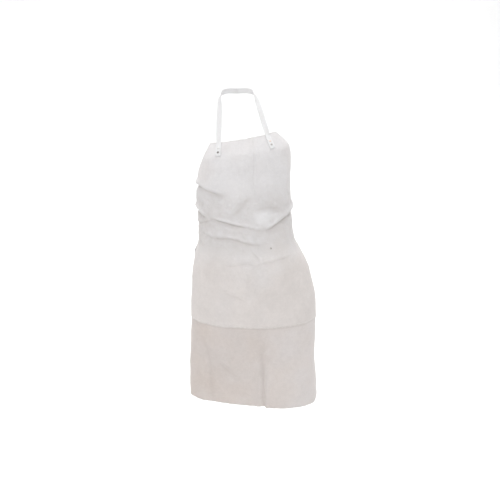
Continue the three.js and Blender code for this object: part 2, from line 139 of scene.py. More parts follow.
# The body form on each side of the front line. wide: half-width. deep: from the front line to the side.
# square: power of the oval. reach: length of the leather from the front line to its edge.
LEFT = table("down wide deep square reach", [
    (0, 124, 96, 2.2, 106),
    (25, 134, 102, 2.2, 120),
    (60, 142, 110, 2.2, 143),
    (110, 148, 116, 2.25, 178),
    (190, 157, 118, 2.2, 204),
    (280, 158, 110, 2.2, 216),
    (335, 162, 120, 2.2, 236),
    (365, 172, 122, 2.2, 264),
    (440, 190, 126, 2.15, 268),
    (592, 207, 118, 2.15, 268),
    (700, 212, 92, 2.2, 258),
    (884, 220, 62, 2.3, 234),
])
RIGHT = table("down wide deep square reach", [
    (0, 110, 96, 2.2, 118),
    (25, 124, 102, 2.2, 142),
    (60, 142, 110, 2.2, 176),
    (110, 139, 116, 2.25, 192),
    (190, 136, 118, 2.3, 200),
    (280, 137, 110, 2.3, 208),
    (335, 143, 120, 2.3, 246),
    (365, 156, 122, 2.25, 304),
    (440, 186, 128, 2.2, 312),
    (592, 201, 130, 2.15, 312),
    (700, 200, 130, 2.3, 312),
    (884, 208, 122, 2.6, 312),
])

# The neck strap's free way round the neck, from the left strand to the right one, on its inner face.
# out: compass angle that the tape's outer face looks to, 0 to the front, 90 to -X, 180 to the back.
NECK_WAY = table("x y z out", [
    (-53, -108, -100, 0),
    (-52, -72, -47, 16),
    (-50, -43, -10, 58),
    (-34, -13, 0, 122),
    (0, 0, 0, 180),
    (34, -13, 1, 238),
    (52, -43, -5, 302),
    (66, -73, -38, 344),
    (81, -108, -84, 360),
])


def smooth(t):
    t = np.clip(t, 0, 1)
    return t * t * (3 - 2 * t)


def bell(t):
    return np.exp(-t ** 2)


def unit(v):
    return v / np.linalg.norm(v, axis=-1, keepdims=True)


def column(rows, name, at):
    """A column of a table at given lengths down, by cubic pieces through its rows."""
    key, value = rows["down"], rows[name]
    at = np.asarray(at, float)
    slope = np.diff(value) / np.diff(key)
    before, after = slope[:-1], slope[1:]
    level = before * after <= 0
    mean = 2 * before * after / np.where(level, 1, before + after)
    tangent = np.concatenate([slope[:1], np.where(level, 0, mean), slope[-1:]])
    i = np.clip(np.searchsorted(key, at) - 1, 0, len(key) - 2)
    span = key[i + 1] - key[i]
    t = np.clip((at - key[i]) / span, 0, 1)
    rise = (3 - 2 * t) * t * t
    bend = span * t * (1 - t) * (tangent[i] * (1 - t) - tangent[i + 1] * t)
    beyond = np.minimum(at - key[0], 0) * slope[0] + np.maximum(at - key[-1], 0) * slope[-1]
    return value[i] + rise * (value[i + 1] - value[i]) + bend + beyond


def full_width(downs):
    """The length of the leather from edge to edge."""
    return column(LEFT, "reach", downs) + column(RIGHT, "reach", downs)


STITCH_FIRST = float(STITCH_IN - column(LEFT, "reach", STITCH_DOWN))


def smooth_line(points, per_piece):
    """Places on a smooth line through points, with a given count of steps from each point to the next."""
    points = np.asarray(points, float)
    ends = 2 * points[[0, -1]] - points[[1, -2]]
    points = np.vstack([ends[:1], points, ends[1:]])
    knots = np.maximum(np.sqrt(np.linalg.norm(np.diff(points, axis=0), axis=1)), 1e-4)
    t = np.arange(per_piece)[:, None] / per_piece
    line = []
    for i in range(1, len(points) - 2):
        a, b, c, d = points[i - 1:i + 3]
        ka, kb, kc = knots[i - 1:i + 2]
        leave = ((b - a) / ka - (c - a) / (ka + kb) + (c - b) / kb) * kb
        arrive = ((c - b) / kb - (d - b) / (kb + kc) + (d - c) / kc) * kb
        bend = t * (1 - t) * (leave * (1 - t) - arrive * t)
        line.append(b + (3 - 2 * t) * t * t * (c - b) + bend)
    return np.vstack([*line, points[-2:-1]])


def walked(line):
    """The length walked along a line at each of its points."""
    return np.concatenate([[0], np.cumsum(np.linalg.norm(np.diff(line, axis=0), axis=1))])


@dataclass
class Fold:
    """A fold of the leather. way: its line by (across, down). depth: of its valley. half: half-width of
    the valley. roll: height of the leather that rolls over it, on the upper side of a fold that runs to
    the right. lean: how much steeper the valley is towards the roll. start, end: strength at its ends.
    Its last field says how much more than others of its depth the crease is darkened, in painted shade as
    well as rubbed dirt."""
    way: list
    depth: float
    half: float
    roll: float = 0
    lean: float = 1
    start: float = 0
    end: float = 0
    darkened: float = 1

    def __post_init__(self):
        self.line = smooth_line(self.way, FOLD_POINTS)
        length = walked(self.line)
        self.long = length[-1]
        self.share = length / self.long
        self.heading = unit(np.gradient(self.line, axis=0))

    def shape(self, across, down):
        """How far the fold moves the leather outwards, and how much of a crease it is, at each place."""
        offset = np.stack([across, down], -1)[:, None] - self.line
        near = (offset ** 2).sum(-1).argmin(1)
        offset = offset[np.arange(len(near)), near]
        heading = self.heading[near]
        share = self.share[near] + (offset * heading).sum(-1) / self.long
        side = heading[:, 0] * offset[:, 1] - heading[:, 1] * offset[:, 0]
        beyond = np.maximum(np.maximum(-share, share - 1), 0) * self.long
        strength = self.start + (1 - self.start) * smooth(share / FOLD_FADE_IN)
        strength *= bell(beyond / self.half)
        strength *= self.end + (1 - self.end) * smooth((1 - share) / FOLD_FADE_OUT)
        wide = np.where(side < 0, self.half / self.lean, self.half * self.lean)
        valley = bell(side / wide)
        roll = bell((side + ROLL_AT * self.half) / (ROLL_HALF * self.half))
        # The crease, with its wide halo, is painted shade as well as rubbed dirt.
        crease = bell(side / (CREASE_CORE * self.half))
        crease += CREASE_WIDE_SHARE * bell(side / (CREASE_WIDE * self.half))
        crease *= self.darkened * min(1, abs(self.depth) / CREASE_FULL_DEPTH) / (1 + CREASE_WIDE_SHARE)
        return strength * (self.roll * roll - self.depth * valley), strength * crease


FOLDS = [
    # Under the chest, at the left edge.
    Fold([(-196, 148), (-171, 149), (-153, 151), (-126, 159), (-102, 165), (-84, 170), (-52, 170)],
         depth=4.4, half=8, roll=3.4, lean=1.4, start=1.5),
    Fold([(-132, 160), (-90, 170), (-44, 171)], depth=2.6, half=17),
    Fold([(-222, 226), (-177, 237), (-147, 246), (-122, 250)],
         depth=5, half=8, roll=4, lean=1.3, start=1.5),
    Fold([(-230, 285), (-168, 270), (-132, 258), (-112, 251)],
         depth=3.2, half=5, roll=0.8, start=1.2, end=0.3),
    # The waist folds.
    Fold([(-118, 247), (-96, 252), (-69, 258), (-39, 267), (-9, 273), (10, 277)],
         depth=6, half=5, roll=4.2, lean=1.7, start=0.4),
    Fold([(-12, 274), (21, 283), (52, 286)], depth=2.6, half=7, roll=2, lean=1.3),
    Fold([(30, 284), (54, 286), (75, 280), (99, 268), (129, 258), (159, 251), (206, 244)],
         depth=7, half=8, roll=5, lean=1.4, end=1.2),
    Fold([(122, 236), (108, 228), (87, 219), (66, 215), (36, 218), (6, 228)], depth=3.2, half=10, roll=4),
    Fold([(34, 180), (3, 187), (-15, 207), (-36, 228), (-62, 243)], depth=3.4, half=13),
    Fold([(14, 252), (44, 247), (76, 238)], depth=-2.4, half=17),
    Fold([(-33, 285), (-12, 293), (6, 297)], depth=1.6, half=4, roll=0.8),
    Fold([(-152, 300), (-111, 310), (-72, 309), (-42, 312), (-12, 321), (18, 327), (51, 325), (72, 321)],
         depth=4, half=6.5, roll=2.8, lean=1.5, start=0.4),
    # Where the waist meets the belly.
    Fold([(0, 330), (15, 354), (27, 366), (25, 388)], depth=2, half=4, roll=0.8),
    Fold([(-88, 394), (-48, 390), (-18, 384), (6, 386), (24, 390)],
         depth=2.2, half=5, roll=1.6, lean=1.4, end=0.5),
    Fold([(24, 389), (36, 384), (63, 381), (90, 375), (123, 371), (150, 366)],
         depth=2.2, half=4.5, roll=1.4, lean=1.4, start=0.5),
    Fold([(-20, 409), (-3, 426)], depth=1, half=6),
    Fold([(-98, 466), (-81, 477), (-51, 489), (-21, 501), (-5, 506)], depth=2, half=7, roll=1.3, lean=1.2),
    # The skirt.
    Fold([(-124, 716), (-90, 744), (-63, 765), (-36, 775), (-20, 778)], depth=2, half=8, roll=1.3),
    Fold([(-134, 884), (-135, 855), (-138, 822), (-141, 732), (-153, 684), (-165, 639), (-168, 612)],
         depth=2.6, half=13, roll=2.2, start=1, darkened=0.7),
    Fold([(135, 778), (171, 767), (206, 752)], depth=1.1, half=7, roll=0.8),
    Fold([(145, 798), (190, 786), (216, 776)], depth=0.9, half=7, roll=0.7),
    Fold([(-72, 655), (-56, 659)], depth=0.9, half=9),
    Fold([(48, 652), (48, 694)], depth=-1.3, half=7),
    # The lines where the apron was folded flat.
    Fold([(32, 684), (36, 777), (39, 884)], depth=3, half=5, roll=2.8, start=0.5, end=1),
    Fold([(37, 808), (38, 846), (39, 884)], depth=0.8, half=4, end=1, darkened=2.4),
    Fold([(30, 0), (27, 72), (24, 114), (24, 165), (26, 192)],
         depth=1.1, half=3.5, roll=0.7, start=1, end=0.6, darkened=2),
    # Faint wrinkles of the bib.
    Fold([(-39, 51), (-15, 58), (9, 69)], depth=0.6, half=4),
    Fold([(42, 78), (66, 76), (90, 72)], depth=0.6, half=4),
    Fold([(-63, 87), (-36, 87), (-12, 90)], depth=0.5, half=3),
    Fold([(-30, 101), (27, 89)], depth=0.5, half=3.5),
    Fold([(39, 168), (102, 177)], depth=0.6, half=4.5),
    Fold([(48, 147), (105, 156)], depth=0.6, half=4.5),
]


class Waves:
    """Gentle unevenness of the leather: a sum of long and short waves in seeded directions."""

    def __init__(self, seed, count, shortest, longest, height):
        draw = np.random.default_rng(seed)
        length = shortest * (longest / shortest) ** draw.uniform(0, 1, count)
        angle = draw.uniform(0, math.pi, count)
        self.rate = 2 * math.pi / length * np.array([np.cos(angle), np.sin(angle)])
        self.phase = draw.uniform(0, 2 * math.pi, count)
        self.height = height * length / np.sqrt((length ** 2).sum() / 2)

    def __call__(self, across, down):
        turn = np.multiply.outer(across, self.rate[0]) + np.multiply.outer(down, self.rate[1])
        return (np.sin(turn + self.phase) * self.height).sum(-1)


broad_waves = Waves(SEED, 24, 55, 150, 0.8)
small_waves = Waves(SEED + 1, 60, 9, 34, 0.16)
cut_waves = Waves(SEED + 2, 24, 14, 60, 0.45)
crumple_waves = Waves(SEED + 4, 40, 12, 40, 0.6)


def relief(across, down):
    """How far folds and unevenness move the leather outwards, with marks of each place: how much of a
    crease it is, how far it lies in the hollow of a fold, how far up on a roll and how proud on a bulge."""
    waist = smooth((down - WAIST_BAND[0]) / WAIST_FADE_ABOVE)
    waist *= smooth((WAIST_BAND[1] - down) / WAIST_FADE_BELOW)
    crumple = waist * crumple_waves(across, down)
    lift = broad_waves(across, down) + small_waves(across, down) + crumple
    lift *= smooth((UNEVEN_REACH - np.abs(across)) / UNEVEN_FADE)
    from_rivet = np.hypot(across - FRONT_RIVET[0], down - FRONT_RIVET[1])
    lift -= DIMPLE_DEEP * bell(from_rivet / DIMPLE_HALF)
    lift -= GROOVE_DEEP * bell((down - STITCH_DOWN) / GROOVE_HALF)
    crease = np.zeros_like(lift)
    folded = np.zeros_like(lift)
    bulge = np.zeros_like(lift)
    for fold in FOLDS:
        moved, creased = fold.shape(across, down)
        folded += moved
        if fold.depth < 0:
            bulge += moved
        crease = np.maximum(crease, creased)
    # These marks drive the leather's colour: painted shade in hollows, painted highlights on rolls and
    # bulges.
    wavy = folded + CRUMPLE_MARK * crumple
    hollow = np.clip(-wavy / FULL_HOLLOW, 0, 1)
    roll = np.clip(wavy / FULL_ROLL, 0, 1)
    proud = np.clip(bulge / FULL_PROUD, 0, 1)
    return lift + folded, {"crease": crease, "hollow": hollow, "roll": roll, "proud": proud}


OVAL_TURNS = np.linspace(0, math.pi, 161)


def oval(side, down):
    """Half of the body form's oval at each length down: lines of x, of y and of the length walked."""
    power = 2 / column(side, "square", down)[:, None]
    sine = np.clip(np.sin(OVAL_TURNS), 0, 1)
    cosine = np.cos(OVAL_TURNS)
    x = column(side, "wide", down)[:, None] * sine ** power
    y = column(side, "deep", down)[:, None] * (1 - np.sign(cosine) * np.abs(cosine) ** power)
    steps = np.hypot(np.diff(x, axis=1), np.diff(y, axis=1))
    return x, y, np.pad(np.cumsum(steps, axis=1), ((0, 0), (1, 0)))


def half_way(side, down):
    """Half the way round the body form at each length down."""
    return oval(side, np.atleast_1d(np.asarray(down, float)))[2][:, -1]


def leather(across, down):
    """Places on the outer face of the leather, and the marks of its relief there."""
    across, down = np.broadcast_arrays(np.asarray(across, float), np.asarray(down, float))
    left = across < 0
    x, y, length = (np.where(left[:, None], a, b) for a, b in zip(oval(LEFT, down), oval(RIGHT, down)))
    walk = np.minimum(np.abs(across), length[:, -1] - 1e-6)
    k = np.clip((length < walk[:, None]).sum(1), 1, len(OVAL_TURNS) - 1)
    row = np.arange(len(k))
    t = (walk - length[row, k - 1]) / (length[row, k] - length[row, k - 1])
    sign = np.where(left, -1, 1)
    step_x = x[row, k] - x[row, k - 1]
    step_y = y[row, k] - y[row, k - 1]
    level = np.stack([sign * (x[row, k - 1] + t * step_x), y[row, k - 1] + t * step_y], -1)
    lift, marks = relief(across, down)
    level += unit(np.stack([sign * step_y, -step_x], -1)) * lift[:, None]
    turn = np.radians(column(FRONT, "turn", down))
    level_x = level[:, 0] * np.cos(turn) + level[:, 1] * np.sin(turn)
    level_y = level[:, 1] * np.cos(turn) - level[:, 0] * np.sin(turn)
    z = column(FRONT, "z", down) + column(FRONT, "rise", down) * level_x
    place = np.stack([level_x + column(FRONT, "x", down), level_y + column(FRONT, "y", down), z], -1)
    return place, marks


def on_leather(across, down):
    """Places on the leather with the way that it faces there."""
    step = 2
    u = leather(across + step, down)[0] - leather(across - step, down)[0]
    v = leather(across, down + step)[0] - leather(across, down - step)[0]
    return leather(across, down)[0], unit(np.cross(v, u))


def add_object(name, data):
    thing = bpy.data.objects.new(name, data)
    bpy.context.scene.collection.objects.link(thing)
    return thing


def new_object(name, verts, faces, materials, face_material=None, lengths=None, **marks):
    """A smooth mesh object. lengths: a UV map in metres. marks: named values of its vertices."""
    mesh = bpy.data.meshes.new(name)
    faces = faces.tolist() if isinstance(faces, np.ndarray) else faces
    mesh.from_pydata((np.asarray(verts) * MM).tolist(), [], faces)
    mesh.shade_smooth()
    for material in materials:
        mesh.materials.append(material)
    if face_material is not None:
        mesh.polygons.foreach_set("material_index", np.asarray(face_material, np.int32))
    if lengths is not None:
        corner = np.empty(len(mesh.loops), np.int32)
        mesh.loops.foreach_get("vertex_index", corner)
        layer = mesh.uv_layers.new(name="lengths")
        layer.uv.foreach_set("vector", (np.asarray(lengths, np.float32) * MM)[corner].ravel())
    for mark, values in marks.items():
        layer = mesh.attributes.new(mark, "FLOAT", "POINT")
        layer.data.foreach_set("value", np.asarray(values, np.float32).ravel())
    mesh.validate()
    return add_object(name, mesh)


def wall(place, out, under, over, bulge):
    """A closed wall on a grid of places: its outer face at depth over, its inner face at depth under and a
    rounded rim between them. Gives vertices, faces, each face's part (0 outer, 1 inner, 2 rim) and the grid
    place that each vertex comes from."""
    rows, columns = place.shape[:2]
    flat_place = place.reshape(-1, 3)
    flat_out = out.reshape(-1, 3)
    grid = np.arange(rows * columns).reshape(rows, columns)
    loop = np.concatenate([grid[0], grid[1:, -1], grid[-1, -2::-1], grid[-2:0:-1, 0]])
    along = flat_place[np.roll(loop, -1)] - flat_place[np.roll(loop, 1)]
    outward = unit(np.cross(flat_out[loop], along))
    verts = [flat_place + over * flat_out, flat_place + under * flat_out]
    source = [grid.ravel(), grid.ravel()]
    rings = [loop]
    count = 2 * rows * columns
    for share in (0.25, 0.75):
        depth = over + (under - over) * share
        verts.append(flat_place[loop] + depth * flat_out[loop] + bulge * outward)
        source.append(loop)
        rings.append(np.arange(count, count + len(loop)))
        count += len(loop)
    rings.append(loop + rows * columns)
    a, b, c, d = grid[:-1, :-1], grid[1:, :-1], grid[1:, 1:], grid[:-1, 1:]
    outer = np.stack([a, b, c, d], -1).reshape(-1, 4)
    inner = outer[:, ::-1] + rows * columns
    rim = []
    for ring, following in zip(rings, rings[1:]):
        rim.append(np.stack([ring, np.roll(ring, -1), np.roll(following, -1), following], -1))
    rim = np.vstack(rim)
    part = np.repeat([0, 1, 2], [len(outer), len(inner), len(rim)])
    return np.vstack(verts), np.vstack([outer, inner, rim]), part, np.concatenate(source)


def steps(start, stop, step):
    """Equal steps from one length to another, with both ends."""
    return np.linspace(start, stop, max(2, round(abs(stop - start) / step) + 1))


def banded(start, *bands):
    """Steps through bands of (end, step), from a first length."""
    lengths = [start]
    for stop, step in bands:
        lengths.extend(steps(lengths[-1], stop, step)[1:])
    return np.array(lengths)


def rounded_off(across, down, edge, corner):
    """Places across the leather, drawn in from a side edge where the hem's corner there is rounded."""
    into = np.clip(down - HEM_DOWN + corner, 0, corner)
    cut = corner - np.sqrt(corner ** 2 - into ** 2)
    return across - np.sign(edge) * cut * smooth(1 - np.abs(edge - across) / (CORNER_DRAWN * corner))


def leather_panel(name, downs, under, materials, hemmed):
    """A panel of leather with hand-cut edges, between two lengths down the apron."""
    top, bottom = downs[0], downs[-1]
    widest = full_width(downs).max()
    shares = np.linspace(0, 1, round(widest / LEATHER_COLUMN) + 1)
    edge_share = EDGE_ROW / widest
    shares = np.concatenate([[0, edge_share], shares[1:-1], [1 - edge_share, 1]])
    places, lengths, marks = [], [], {}
    for down in downs:
        reach_left = column(LEFT, "reach", down) + cut_waves(CUT_LEFT, down)
        reach_right = column(RIGHT, "reach", down) + cut_waves(CUT_RIGHT, down)
        across = -reach_left + shares * (reach_left + reach_right)
        if hemmed:
            across = rounded_off(across, down, -reach_left, HEM_CORNER_LEFT)
            across = rounded_off(across, down, reach_right, HEM_CORNER_RIGHT)
        level = np.full_like(across, down)
        if not hemmed:
            level += cut_waves(across, CUT_TOP) * smooth(1 - (down - top) / CUT_FADE)
        uneven = 1.0 if hemmed else CUT_LAP_SHARE
        level += uneven * cut_waves(across, CUT_BOTTOM) * smooth(1 - (bottom - down) / CUT_FADE)
        if hemmed:
            hem_step = HEM_STEP * smooth((across - HEM_STEP_AT) / HEM_STEP_WIDE)
            level += hem_step * ((down - top) / (bottom - top)) ** 2
        place, found = leather(across, level)
        if hemmed:
            # Under the lapped edge the skirt is darkened: painted shade of the lap as well as dust.
            lap_shade_and_dust = LAP_DUST_AND_SHADE * bell((level - LAP_SEAM - LAP_SHADE_AT) / LAP_SHADE_HALF)
            found["crease"] = np.maximum(found["crease"], lap_shade_and_dust)
        places.append(place)
        lengths.append(np.stack([across, level], -1))
        side_gap = np.minimum(across - across[0], across[-1] - across)
        end_gap = bottom - down if hemmed else min(bottom - down, down - top)
        found["edge"] = np.exp(-np.minimum(side_gap, end_gap) / EDGE_WORN)
        for mark, values in found.items():
            marks.setdefault(mark, []).append(values)
    places = np.array(places)
    out = unit(np.cross(np.gradient(places, axis=0), np.gradient(places, axis=1)))
    if hemmed:
        # The grid runs aslant at the rounded corners, so the leather's own facing is taken there.
        for row in np.flatnonzero(downs > HEM_DOWN - HEM_CORNER_RIGHT):
            out[row] = on_leather(*lengths[row].T)[1]
    verts, faces, part, source = wall(places, out, under - LEATHER_THICK, under, EDGE_ROUND)
    picked = {mark: np.concatenate(values)[source] for mark, values in marks.items()}
    flat = np.concatenate(lengths)[source]
    return new_object(name, verts, faces, materials, part, flat, **picked)


def tape_object(name, rows, outs, material):
    """A woven tape on cross rows of places, with a UV map of its lengths across and along."""
    rows = np.array(rows)
    verts, faces, _, source = wall(rows, np.array(outs), 0, TAPE_THICK, TAPE_ROUND)
    along = walked(rows[:, TAPE_COLUMNS // 2])
    across = np.linspace(0, TAPE_WIDE, TAPE_COLUMNS + 1)
    lengths = np.stack(np.broadcast_arrays(across[None], along[:, None]), -1).reshape(-1, 2)
    return new_object(name, verts, faces, [material], lengths=lengths[source])


TAPE_SIDES = np.linspace(-TAPE_WIDE / 2, TAPE_WIDE / 2, TAPE_COLUMNS + 1)


def neck_end(leaning, sign):
    """Cross rows of the tape's end on the bib, from its cut end up to the top edge, square to the tape."""
    at_top, at_end = leaning
    lean = math.atan2(at_end - at_top, NECK_END_LENGTH)
    rows, outs = [], []
    for down in steps(NECK_END_LENGTH, NECK_END_TOP, TAPE_STEP):
        across = at_top + (at_end - at_top) * down / NECK_END_LENGTH
        side = sign * TAPE_SIDES
        place, out = on_leather(across + side * math.cos(lean), down - side * math.sin(lean))
        rows.append(place + TAPE_LIFT * out)
        outs.append(out)
    return rows, outs


def neck_strap(material):
    """The whole neck strap: two ends on the bib and the free way round the neck between them."""
    left_rows, left_outs = neck_end(NECK_END_LEFT, -1)
    right_rows, right_outs = (part[::-1] for part in neck_end(NECK_END_RIGHT, 1))
    middle = TAPE_COLUMNS // 2
    compass = np.radians(NECK_WAY["out"])
    looks = np.stack([-np.sin(compass), -np.cos(compass), 0 * compass], -1)
    way = np.stack([NECK_WAY[axis] for axis in "xyz"], -1)
    way = smooth_line(np.vstack([left_rows[-1][middle], way, right_rows[0][middle]]), NECK_POINTS)
    looks = smooth_line(np.vstack([left_outs[-1][middle], looks, right_outs[0][middle]]), NECK_POINTS)
    length = walked(way)
    at = steps(0, length[-1], TAPE_STEP)[1:-1]

    def pick(line):
        return np.stack([np.interp(at, length, line[:, axis]) for axis in range(3)], -1)

    along = unit(pick(np.gradient(way, axis=0)))
    face = pick(looks)
    face = unit(face - along * (face * along).sum(-1, keepdims=True))
    width = np.cross(face, along)
    free_rows = pick(way)[:, None] + TAPE_SIDES[:, None] * width[:, None]
    free_outs = np.repeat(face[:, None], TAPE_COLUMNS + 1, axis=1)
    rows = [*left_rows, *free_rows, *right_rows]
    return tape_object("neck_tape", rows, [*left_outs, *free_outs, *right_outs], material)


def waist_strap(material):
    """The waist strap: on the right ear, round the back through the buckle, and on to the left ear."""
    over = BUCKLE_LIFT + BUCKLE_THICK / 2 + BUCKLE_CLEAR
    rows, outs = [], []
    for side, sign in ((RIGHT, 1), (LEFT, -1)):
        half = half_way(side, WAIST_DOWN)[0]
        start = column(side, "reach", WAIST_DOWN) - WAIST_HOLD
        coarse = steps(start, half - FINE_FROM - 1, TAPE_STEP)
        stations = np.concatenate([coarse, steps(half - FINE_FROM, half - FINE_TO, FINE_STEP)])
        side_rows, side_outs = [], []
        for station in stations:
            down = WAIST_DOWN - TAPE_SIDES
            across = sign * station / half * half_way(side, down)
            place, out = on_leather(across, down)
            rise = smooth((BUCKLE_RISE_FROM - half + station) / BUCKLE_RISE)
            side_rows.append(place + (TAPE_LIFT + (over - TAPE_LIFT) * rise) * out)
            side_outs.append(out)
        rows += side_rows[::sign]
        outs += side_outs[::sign]
    return tape_object("waist_tape", rows, outs, material)


def turned(profile, sides):
    """A closed body of revolution about +Z, from a profile of (radius, height) that ends on the axis."""
    ring = 2 * math.pi * np.arange(sides) / sides
    inner = profile[1:-1]
    verts = [(0, 0, profile[0][1])]
    for radius, height in inner:
        verts.extend((radius * math.cos(a), radius * math.sin(a), height) for a in ring)
    verts.append((0, 0, profile[-1][1]))

    def at(i, j):
        return 1 + i * sides + j % sides

    last = len(inner) - 1
    faces = []
    for j in range(sides):
        faces.append((0, at(0, j + 1), at(0, j)))
        for i in range(last):
            faces.append((at(i, j), at(i, j + 1), at(i + 1, j + 1), at(i + 1, j)))
        faces.append((at(last, j), at(last, j + 1), len(verts) - 1))
    return np.array(verts), faces


def rivet(name, across, down, stack, material):
    """A tubular rivet through the leather and what lies on it, with a domed, slightly dished cap."""
    foot = -LEATHER_THICK - RIVET_CLEAR
    head = stack + RIVET_CLEAR
    dome = [(0.97, 0.12), (1.0, 0.3), (0.97, 0.5), (0.88, 0.72), (0.72, 0.9), (0.52, 0.99), (0.36, 1.0),
            (0.24, 0.93), (0.12, 0.84)]
    washer = [(0, 0.6), (RIVET_SHANK * 0.9, 0.6), (RIVET_SHANK * 1.1, 1), (RIVET_WASHER * 0.94, 1),
              (RIVET_WASHER, 0.7), (RIVET_WASHER, 0.125), (RIVET_WASHER * 0.97, 0)]
    profile = [
        *((r, foot - RIVET_WASHER_THICK * h) for r, h in washer),
        (RIVET_SHANK, foot),
        (RIVET_SHANK, head),
        (RIVET_CAP * 0.93, head),
        *((RIVET_CAP * r, head + RIVET_CAP_HIGH * h) for r, h in dome),
        (0, head + RIVET_CAP_HIGH * 0.8),
    ]
    verts, faces = turned(profile, RIVET_SIDES)
    place, out = on_leather(np.array([across]), np.array([down]))
    turn = np.array(Vector((0, 0, 1)).rotation_difference(Vector(out[0])).to_matrix())
    return new_object(name, verts @ turn.T + place[0], faces, [material])


def stitches(material):
    """Thread stitches along the lap seam, outside and inside, each sinking into the leather at its ends."""
    draw = np.random.default_rng(SEED + 3)
    last = column(RIGHT, "reach", STITCH_DOWN) - STITCH_IN
    sides, rounds = STITCH_SIDES, STITCH_ROUNDS
    ring = 2 * math.pi * np.arange(sides) / sides
    verts, faces, lengths = [], [], []
    starts = np.arange(STITCH_FIRST, last - STITCH_LONG, STITCH_PITCH)
    outside = [(start, 1, 0) for start in starts]
    inside = [(start, -1, 2 * LEATHER_THICK + LAP_GAP) for start in starts]
    for start, facing, depth in outside + inside:
        t = np.linspace(0, 1, rounds)
        across = start + STITCH_LONG * t + draw.uniform(-STITCH_STRAY_ALONG, STITCH_STRAY_ALONG)
        down = STITCH_DOWN + draw.uniform(-STITCH_STRAY_DOWN, STITCH_STRAY_DOWN)
        place, out = on_leather(across, np.full(rounds, down))
        place = place - depth * out
        out = facing * out
        along = unit(np.gradient(place, axis=0))
        beside = np.cross(along, out)
        place = place + out * (STITCH_HIGH * np.sin(math.pi * t)[:, None] ** 0.6 - STITCH_SUNK)
        radius = STITCH_THICK / 2 * (0.55 + 0.45 * np.sin(math.pi * t) ** 0.5)
        round_it = np.cos(ring)[:, None] * beside[:, None] + np.sin(ring)[:, None] * out[:, None]
        base = len(verts) * sides
        verts.extend(place[:, None] + radius[:, None, None] * round_it)
        lengths.extend(np.stack(np.broadcast_arrays(across[:, None], ring / sides), -1))
        for near in range(base, base + sides * (rounds - 1), sides):
            for j in range(sides):
                k = (j + 1) % sides
                faces.append((near + j, near + sides + j, near + sides + k, near + k))
        end = base + sides * (rounds - 1)
        faces.append(tuple(base + j for j in range(sides)))
        faces.append(tuple(end + j for j in reversed(range(sides))))
    lengths = np.concatenate(lengths)
    return new_object("lap_stitching", np.concatenate(verts), faces, [material], lengths=lengths)


def rounded_outline(wide, high, corner, centre):
    """Places round a rectangle with round corners, the corners first to last."""
    places = []
    for quarter, (sx, sy) in enumerate(((1, 1), (-1, 1), (-1, -1), (1, -1))):
        for angle in np.radians(np.linspace(0, 90, BUCKLE_CORNER_STEPS) + 90 * quarter):
            x = centre + sx * (wide / 2 - corner) + corner * math.cos(angle)
            places.append((x * MM, (sy * (high / 2 - corner) + corner * math.sin(angle)) * MM))
    return places


def buckle(material):
    """A slide buckle: a plate with two slots, a middle bar and rounded edges, where the strap passes."""
    slot_wide = (BUCKLE_WIDE - BUCKLE_MIDDLE) / 2 - BUCKLE_SIDE
    slot_at = (BUCKLE_MIDDLE + slot_wide) / 2
    grown = 2 * BUCKLE_ROUND
    outlines = [rounded_outline(BUCKLE_WIDE - grown, BUCKLE_HIGH - grown, BUCKLE_CORNER - BUCKLE_ROUND, 0)]
    for centre in (-slot_at, slot_at):
        corner = BUCKLE_SLOT_CORNER + BUCKLE_ROUND
        outlines.append(rounded_outline(slot_wide + grown, BUCKLE_SLOT_HIGH + grown, corner, centre))
    curve = bpy.data.curves.new("buckle_outline", "CURVE")
    curve.dimensions = "2D"
    curve.fill_mode = "BOTH"
    curve.extrude = (BUCKLE_THICK / 2 - BUCKLE_ROUND) * MM
    curve.bevel_depth = BUCKLE_ROUND * MM
    curve.bevel_resolution = 3
    for outline in outlines:
        spline = curve.splines.new("POLY")
        spline.points.add(len(outline) - 1)
        for point, (x, y) in zip(spline.points, outline):
            point.co = (x, y, 0, 1)
        spline.use_cyclic_u = True
    drawn = add_object("buckle_drawn", curve)
    mesh = bpy.data.meshes.new_from_object(drawn.evaluated_get(bpy.context.evaluated_depsgraph_get()))
    bpy.data.objects.remove(drawn)
    welded = bmesh.new()
    welded.from_mesh(mesh)
    bmesh.ops.remove_doubles(welded, verts=welded.verts, dist=BUCKLE_WELD * MM)
    welded.to_mesh(mesh)
    welded.free()
    low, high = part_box("waist_buckle")
    mesh.transform(Matrix.Translation((low + high) / 2) @ Matrix.Rotation(-math.pi / 2, 4, "X"))
    mesh.materials.clear()
    mesh.materials.append(material)
    mesh.set_sharp_from_angle(angle=math.radians(BUCKLE_SHARP))
    return add_object("slide_buckle", mesh)


